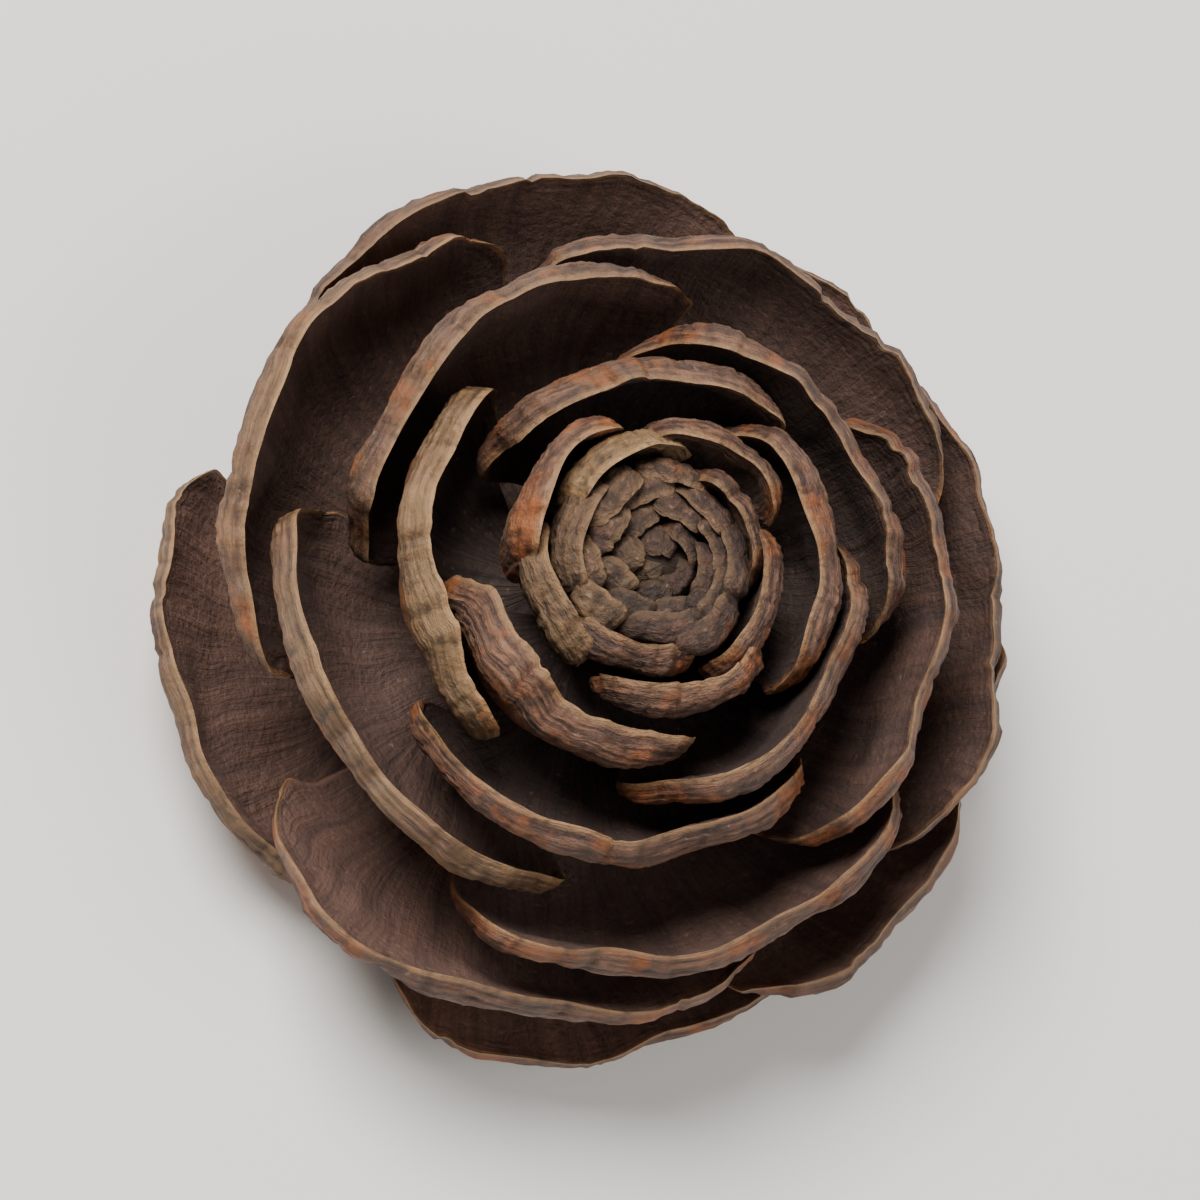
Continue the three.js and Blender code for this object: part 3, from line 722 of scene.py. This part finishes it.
# %% Four woods, paler the further a scale has opened; the darker inner ones are partly painted shade
# The inner scales' woods are darker partly of themselves and partly as painted shade, since those scales stand
# in shadow among the others.
BUD_WOOD = cedar_wood("bud_wood_weathered", ("#33251e", "#4d3a2f"), ("#5a4030", "#84603f"), (3.0, 1.5))
UPRIGHT_WOOD = cedar_wood("upright_wood_umber", ("#2c1f1b", "#47352d"), ("#633d26", "#935c34"), (2.6, 0.5))
OPEN_WOOD = cedar_wood("open_wood_red_brown", ("#3c2a24", "#5c443a"), ("#70462c", "#9c653b"), (2.4, 0.3))
SPREAD_WOOD = cedar_wood("spread_wood_russet", ("#4a342c", "#6e5246"), ("#7f4f31", "#ad7546"), (2.2, 0.22))
print("woods:", [m.name for m in (BUD_WOOD, UPRIGHT_WOOD, OPEN_WOOD, SPREAD_WOOD)])

# %% [markdown]
# ## Growing the scales
# Each scale gets the tree as a modifier. Its inputs are set by their identifiers before anything is
# evaluated. The result is then taken as a plain mesh, and the modifier goes, so what is left is an object at
# the origin.

# %% Grow one mesh from the tree
SOCKETS = {item.name: item.identifier for item in tree.interface.items_tree if item.in_out == "INPUT"}
AXIS_AT = Vector((0.241, 0.224, 0))  # mm, because the axis is a little off the middle of the outline


def grow(name, sizes, wood, columns, rows):
    holder = bpy.data.objects.new(name, bpy.data.meshes.new(name))
    bpy.context.scene.collection.objects.link(holder)
    modifier = holder.modifiers.new("cedar_scale", "NODES")
    modifier.node_group = tree
    for key, value in sizes.items():
        if key in POINTS:
            value = (value[0] * MM, 0.0, value[1] * MM)
        elif key in SIZES:
            value = value * MM
        modifier[SOCKETS[key]] = value
    modifier[SOCKETS["Axis"]] = tuple(AXIS_AT * MM)
    modifier[SOCKETS["Columns"]] = columns
    modifier[SOCKETS["Rows"]] = rows
    modifier[SOCKETS["Wood"]] = wood
    holder.update_tag()
    bpy.context.view_layer.update()
    grown = bpy.data.meshes.new_from_object(holder.evaluated_get(bpy.context.evaluated_depsgraph_get()))
    holder.modifiers.clear()
    holder.data = grown
    grown.name = name
    return holder


def triangles_of(piece):
    return sum(len(p.vertices) - 2 for p in piece.data.polygons)


print("inputs to set:", len(SOCKETS))

# %% The twenty open scales
OPEN_GRID = (109, 77)  # columns and rows
UPRIGHT_UP_TO, OPEN_UP_TO = 7, 14  # where the next wood begins


def wood_of(index):
    if index < UPRIGHT_UP_TO:
        return UPRIGHT_WOOD, "upright_scale_wood"
    if index < OPEN_UP_TO:
        return OPEN_WOOD, "open_scale_wood"
    return SPREAD_WOOD, "spread_scale_wood"


triangles = 0
for index in range(OPEN_SCALES):
    wood, slot = wood_of(index)
    piece = grow(f"cedar_scale_{index + 1:02d}", open_scale(index), wood, *OPEN_GRID)
    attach(piece, "root")
    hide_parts(f"scale_{index + 1:02d}")
    triangles += triangles_of(piece)
print("open scales:", OPEN_SCALES, "triangles:", triangles)

# %% [markdown]
# ## The bud
# The bud is the end of the axis with its last scales still shut. They are short, thick and nubbly, and grown
# into the axis, so they make one piece with it. The same tree makes them, and the lumps of its heart. The
# axis could be a plain cylinder. It is turned from a profile instead, with a rough skin, because the hole
# that is left in its lower end when the cone breaks off stays open, and its lip is torn.

# %% The axis: its profile and its rough skin
PROFILE = [  # radius and height in mm, from inside the hole round its lip and up to the top
    (0, 8), (1.5, 8), (1.8, 2.8), (2.4, 2.4), (2.6, 3.2), (2.6, 13.6),
    (4.4, 16.2), (4.1, 17.9), (1.6, 18.6), (0.7, 19.1), (0, 19.2),
]
STEP = 0.4
LIP_HEIGHT, TORN_RUN = 2.4, 3


def axis_path():
    path = []
    for (r0, z0), (r1, z1) in zip(PROFILE, PROFILE[1:]):
        steps = max(2, round(math.hypot(r1 - r0, z1 - z0) / STEP))
        path += [(between((r0, r1), i / steps), between((z0, z1), i / steps)) for i in range(steps)]
    return path + [PROFILE[-1]]


def rough_point(way, r, z):
    """A point of the skin: uneven all over, ribbed along the axis, and torn at the lip of the hole."""
    uneven = 0.05 * noise.noise(way * r * 1.4 + Vector((0, 0, z)))
    ribs = 0.04 * noise.noise(way * 9 + Vector((0, 0, 0.3 * z)))
    torn = 0.7 * noise.noise(way * 2.5) + 0.5 * noise.noise(way * 8)
    torn *= max(0, 1 - (z - LIP_HEIGHT) / TORN_RUN)
    return way * r * (1 + uneven + ribs) + Vector((0, 0, z + torn))


print("rings of the axis:", len(axis_path()))

# %% The axis, turned
SIDES = 72
HOLE_RADIUS, HOLE_FROM = 1.95, 3
HOLE_SHADE, AXIS_SHADE = 0.85, 0.6
FAR_FROM_RIM = 9.0  # mm, further than any margin reaches


def turned_axis(name):
    shape = bmesh.new()
    rings = []
    kept = {"across": [], "from_rim": [], "shade": []}
    for r, z in axis_path():
        ring = []
        for angle in [2 * math.pi * i / SIDES for i in range(SIDES if r else 1)]:
            way = Vector((math.cos(angle), math.sin(angle), 0))
            ring.append(shape.verts.new(rough_point(way, r, z)))
            kept["across"].append(angle / 2)
            kept["from_rim"].append(FAR_FROM_RIM)
            kept["shade"].append(HOLE_SHADE if r < HOLE_RADIUS and z > HOLE_FROM else AXIS_SHADE)
        rings.append(ring if r else ring * SIDES)
    for low, high in zip(rings, rings[1:]):
        for i in range(SIDES):
            corners = [low[i], low[(i + 1) % SIDES], high[(i + 1) % SIDES], high[i]]
            shape.faces.new(list(dict.fromkeys(corners)))
    bmesh.ops.recalc_face_normals(shape, faces=shape.faces)
    bmesh.ops.transform(shape, matrix=Matrix.Translation(AXIS_AT), verts=shape.verts)
    bmesh.ops.scale(shape, vec=(MM, MM, MM), verts=shape.verts)
    mesh = bpy.data.meshes.new(name)
    shape.to_mesh(mesh)
    shape.free()
    mesh.shade_smooth()
    mesh.materials.append(BUD_WOOD)
    for key, values in kept.items():
        mesh.attributes.new(key, "FLOAT", "POINT").data.foreach_set("value", values)
    return mesh


# %% The bud's scales, joined with the axis
BUD_GRID, HEART_GRID = (65, 45), (25, 27)

bud = bpy.data.objects.new("closed_bud", turned_axis("closed_bud"))
bpy.context.scene.collection.objects.link(bud)
joined = [bud]
for order in range(1, BUD_SCALES + 1):
    joined.append(grow(f"bud_scale_{order}", bud_scale(order), BUD_WOOD, *BUD_GRID))
for order in range(1, HEART_SCALES + 1):
    joined.append(grow(f"heart_scale_{order}", heart_scale(order), BUD_WOOD, *HEART_GRID))
picked = {"selected_objects": joined, "selected_editable_objects": joined}
with bpy.context.temp_override(active_object=bud, object=bud, **picked):
    bpy.ops.object.join()
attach(bud, "root")
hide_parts("bud_on_axis")
print("bud triangles:", triangles_of(bud))

# %% [markdown]
# ## The stage
# A plain pale floor, one broad soft lamp high on the left, a weaker one on the right and a pale sky all
# round. The floor is matt, so that it mirrors nothing, and the broad lamp keeps the shadows between the
# scales soft.

# %% Floor and sky
FLOOR_HALF = 2  # metres

corners = [(-1, -1), (1, -1), (1, 1), (-1, 1)]
floor_mesh = bpy.data.meshes.new("floor")
floor_mesh.from_pydata([(x * FLOOR_HALF, y * FLOOR_HALF, 0) for x, y in corners], [], [(0, 1, 2, 3)])
floor = bpy.data.objects.new("floor", floor_mesh)
bpy.context.scene.collection.objects.link(floor)
pale = bpy.data.materials.new("pale_matt_floor")
pale.use_nodes = True
pale.node_tree.nodes["Principled BSDF"].inputs["Base Color"].default_value = colour("#d9d5cf")
pale.node_tree.nodes["Principled BSDF"].inputs["Roughness"].default_value = 0.9
floor_mesh.materials.append(pale)

sky = bpy.data.worlds.new("pale_sky")
sky.use_nodes = True
sky.node_tree.nodes["Background"].inputs["Color"].default_value = colour("#e4e7ea")
sky.node_tree.nodes["Background"].inputs["Strength"].default_value = 0.35
bpy.context.scene.world = sky


# %% Lamps
def lamp(name, place, size, power):
    light = bpy.data.lights.new(name, "AREA")
    light.shape = "DISK"
    light.size = size
    light.energy = power
    holder = bpy.data.objects.new(name, light)
    holder.location = place
    holder.rotation_euler = (-Vector(place)).to_track_quat("-Z", "Y").to_euler()
    bpy.context.scene.collection.objects.link(holder)


lamp("key", (-0.2, 0.24, 0.5), size=0.3, power=7.5)
lamp("fill", (0.3, -0.2, 0.5), size=0.5, power=2.0)

# %% [markdown]
# ## The camera
# The rose lies with its bud towards the camera, tipped a little, so that the bud stands off the middle of
# the rims towards the upper right. A long lens keeps the rims' shapes.

# %% Camera
TIPPED, TOWARDS = math.radians(18), math.radians(216)
AIM_HEIGHT, DISTANCE = 0.011, 0.29  # metres

sine, cosine = math.sin(TIPPED), math.cos(TIPPED)
back = Vector((math.cos(TOWARDS) * sine, math.sin(TOWARDS) * sine, cosine))
right = Vector((0, 1, 0)).cross(back).normalized()
up = back.cross(right)
lens = bpy.data.cameras.new("camera")
lens.lens = 200
lens.sensor_width = 36
lens.clip_start = 0.01
camera = bpy.data.objects.new("camera", lens)
place = Vector((0, 0, AIM_HEIGHT)) + DISTANCE * back
camera.matrix_world = Matrix.Translation(place) @ Matrix((right, up, back)).transposed().to_4x4()
bpy.context.scene.collection.objects.link(camera)
bpy.context.scene.camera = camera
print("camera at, in mm:", [round(1000 * v) for v in place])
